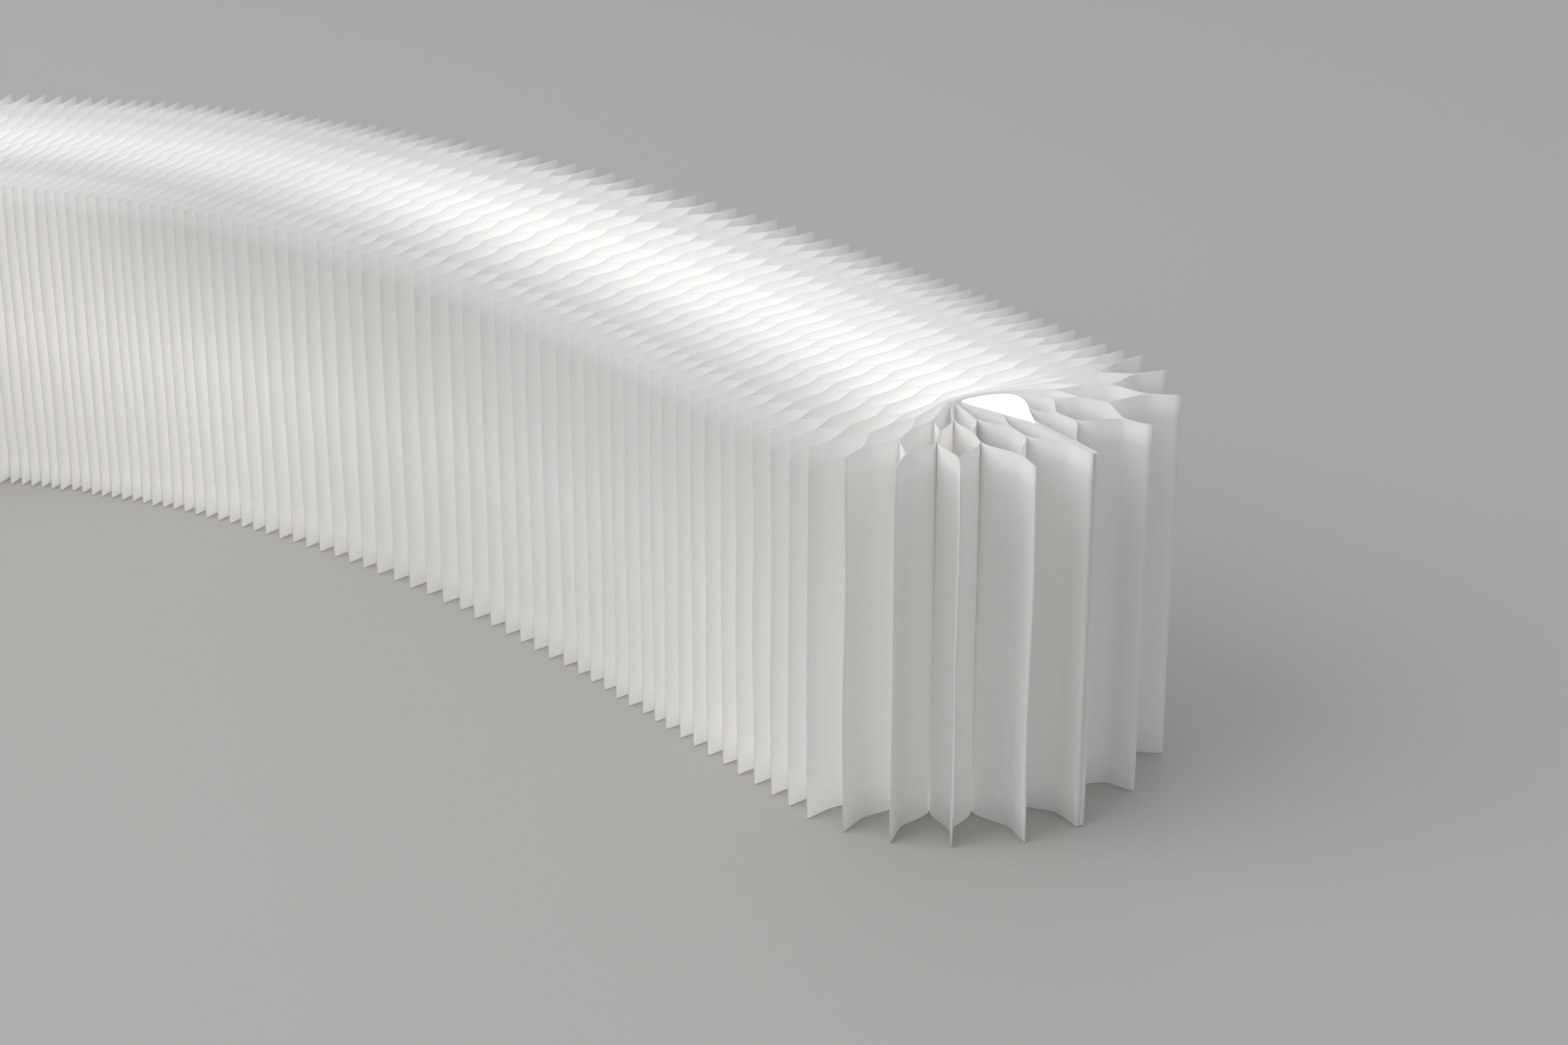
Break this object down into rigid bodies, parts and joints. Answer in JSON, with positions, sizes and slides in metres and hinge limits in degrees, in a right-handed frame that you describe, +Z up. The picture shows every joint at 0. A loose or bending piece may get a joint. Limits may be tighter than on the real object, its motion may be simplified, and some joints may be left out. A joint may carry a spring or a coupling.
{
  "type": "pleated paper screen",
  "caption": "Free-standing bending honeycomb screen of glued white paper leaves, lit from within, its end leaves folded back into fans.",
  "frame": {"origin": "middle of the plan's bounding box, on the surface that the screen stands on", "axes": "+Z up; +X along the long side of the plan, towards the end that is folded open to the right in the picture; -Y is the near, concave side that the picture is taken from"},
  "size_m": [1.659, 0.6373, 0.275],
  "materials": {
    "paper": "matte translucent white, glowing from the light inside",
    "light_ribbon": "diffusing, lit",
    "board": "matte board",
    "magnet": "plated, satin",
    "inlet": "moulded, satin"
  },
  "bodies": {
    "station_01": {"leaf_pair_01": "paper", "right_fan_leaves": "paper", "right_end_sheet": "paper"},
    "station_02": {"leaf_pair_02": "paper", "leaf_pack_01": "paper", "light_ribbon_01": "light_ribbon"},
    "station_03": {"leaf_pair_03": "paper", "leaf_pack_02": "paper", "light_ribbon_02": "light_ribbon"},
    "station_04": {"leaf_pair_04": "paper", "leaf_pack_03": "paper", "light_ribbon_03": "light_ribbon"},
    "station_05": {"leaf_pair_05": "paper", "leaf_pack_04": "paper", "light_ribbon_04": "light_ribbon"},
    "station_06": {"leaf_pair_06": "paper", "leaf_pack_05": "paper", "light_ribbon_05": "light_ribbon", "leaf_pack_06": "paper", "light_ribbon_06": "light_ribbon"},
    "station_07": {"leaf_pair_07": "paper", "leaf_pack_07": "paper", "light_ribbon_07": "light_ribbon"},
    "station_08": {"leaf_pair_08": "paper", "leaf_pack_08": "paper", "light_ribbon_08": "light_ribbon"},
    "station_09": {"leaf_pair_09": "paper", "leaf_pack_09": "paper", "light_ribbon_09": "light_ribbon"},
    "station_10": {"leaf_pair_10": "paper", "leaf_pack_10": "paper", "light_ribbon_10": "light_ribbon"},
    "station_11": {"leaf_pair_11": "paper", "leaf_pack_11": "paper", "light_ribbon_11": "light_ribbon"},
    "station_12": {"leaf_pair_12": "paper", "left_fan_leaves": "paper", "left_end_sheet": "paper", "power_inlet": "inlet"},
    "right_near_flap": {"right_near_board": "board", "right_near_magnets": "magnet"},
    "right_far_flap": {"right_far_board": "board", "right_far_magnets": "magnet"},
    "left_near_flap": {"left_near_board": "board", "left_near_magnets": "magnet"},
    "left_far_flap": {"left_far_board": "board", "left_far_magnets": "magnet"}
  },
  "joints": [
    {"name": "stretch_1", "type": "slide", "parent": "station_02", "child": "station_01", "axis": [0.9308, -0.3655, 0], "range_m": [-0.12686, 0.2111], "deforming": ["leaf_pack_01", "light_ribbon_01"]},
    {"name": "bend_1", "type": "hinge", "parent": "station_03", "child": "station_02", "pos_m": [0.45768, 0.04531, 0], "axis": [0, 0, 1], "range_deg": [-9, 9], "deforming": ["leaf_pack_02", "light_ribbon_02"]},
    {"name": "stretch_2", "type": "slide", "parent": "station_04", "child": "station_03", "axis": [0.9643, -0.2648, 0], "range_m": [-0.15524, 0.25873], "deforming": ["leaf_pack_03", "light_ribbon_03"]},
    {"name": "bend_2", "type": "hinge", "parent": "station_05", "child": "station_04", "pos_m": [0.13309, 0.13294, 0], "axis": [0, 0, 1], "range_deg": [-9, 9], "deforming": ["leaf_pack_04", "light_ribbon_04"]},
    {"name": "stretch_3", "type": "slide", "parent": "station_06", "child": "station_05", "axis": [0.9995, -0.0328, 0], "range_m": [-0.12066, 0.20077], "deforming": ["leaf_pack_05", "light_ribbon_05"]},
    {"name": "bend_3", "type": "hinge", "parent": "station_06", "child": "station_07", "pos_m": [-0.13474, 0.14329, 0], "axis": [0, 0, 1], "range_deg": [-9, 9], "deforming": ["leaf_pack_06", "light_ribbon_06"]},
    {"name": "stretch_4", "type": "slide", "parent": "station_07", "child": "station_08", "axis": [-0.9762, -0.2168, 0], "range_m": [-0.08946, 0.14876], "deforming": ["leaf_pack_07", "light_ribbon_07"]},
    {"name": "bend_4", "type": "hinge", "parent": "station_08", "child": "station_09", "pos_m": [-0.32806, 0.10045, 0], "axis": [0, 0, 1], "range_deg": [-9, 9], "deforming": ["leaf_pack_08", "light_ribbon_08"]},
    {"name": "stretch_5", "type": "slide", "parent": "station_09", "child": "station_10", "axis": [-0.8759, -0.4825, 0], "range_m": [-0.09812, 0.1632], "deforming": ["leaf_pack_09", "light_ribbon_09"]},
    {"name": "bend_5", "type": "hinge", "parent": "station_10", "child": "station_11", "pos_m": [-0.5174, -0.00547, 0], "axis": [0, 0, 1], "range_deg": [-9, 9], "deforming": ["leaf_pack_10", "light_ribbon_10"]},
    {"name": "stretch_6", "type": "slide", "parent": "station_11", "child": "station_12", "axis": [-0.6078, -0.7941, 0], "range_m": [-0.12025, 0.20009], "deforming": ["leaf_pack_11", "light_ribbon_11"]},
    {"name": "right_near_fold", "type": "hinge", "parent": "station_01", "child": "right_near_flap", "pos_m": [0.69456, -0.04299, 0], "axis": [0, 0, -1], "range_deg": [0, 76], "deforming": ["right_fan_leaves", "right_end_sheet"]},
    {"name": "right_far_fold", "type": "hinge", "parent": "station_01", "child": "right_far_flap", "pos_m": [0.69456, -0.04299, 0], "axis": [0, 0, 1], "range_deg": [0, 76], "deforming": ["right_fan_leaves", "right_end_sheet"]},
    {"name": "left_near_fold", "type": "hinge", "parent": "station_12", "child": "left_near_flap", "pos_m": [-0.66826, -0.18826, 0], "axis": [0, 0, 1], "range_deg": [0, 76], "deforming": ["left_fan_leaves", "left_end_sheet"]},
    {"name": "left_far_fold", "type": "hinge", "parent": "station_12", "child": "left_far_flap", "pos_m": [-0.66826, -0.18826, 0], "axis": [0, 0, -1], "range_deg": [0, 76], "deforming": ["left_fan_leaves", "left_end_sheet"]}
  ],
  "couplings": [
    {"joint": "stretch_1", "follows": "stretch_2", "ratio": 0.81396},
    {"joint": "stretch_3", "follows": "stretch_2", "ratio": 0.77406},
    {"joint": "stretch_4", "follows": "stretch_2", "ratio": 0.57302},
    {"joint": "stretch_5", "follows": "stretch_2", "ratio": 0.62884},
    {"joint": "stretch_6", "follows": "stretch_2", "ratio": 0.77141}
  ]
}
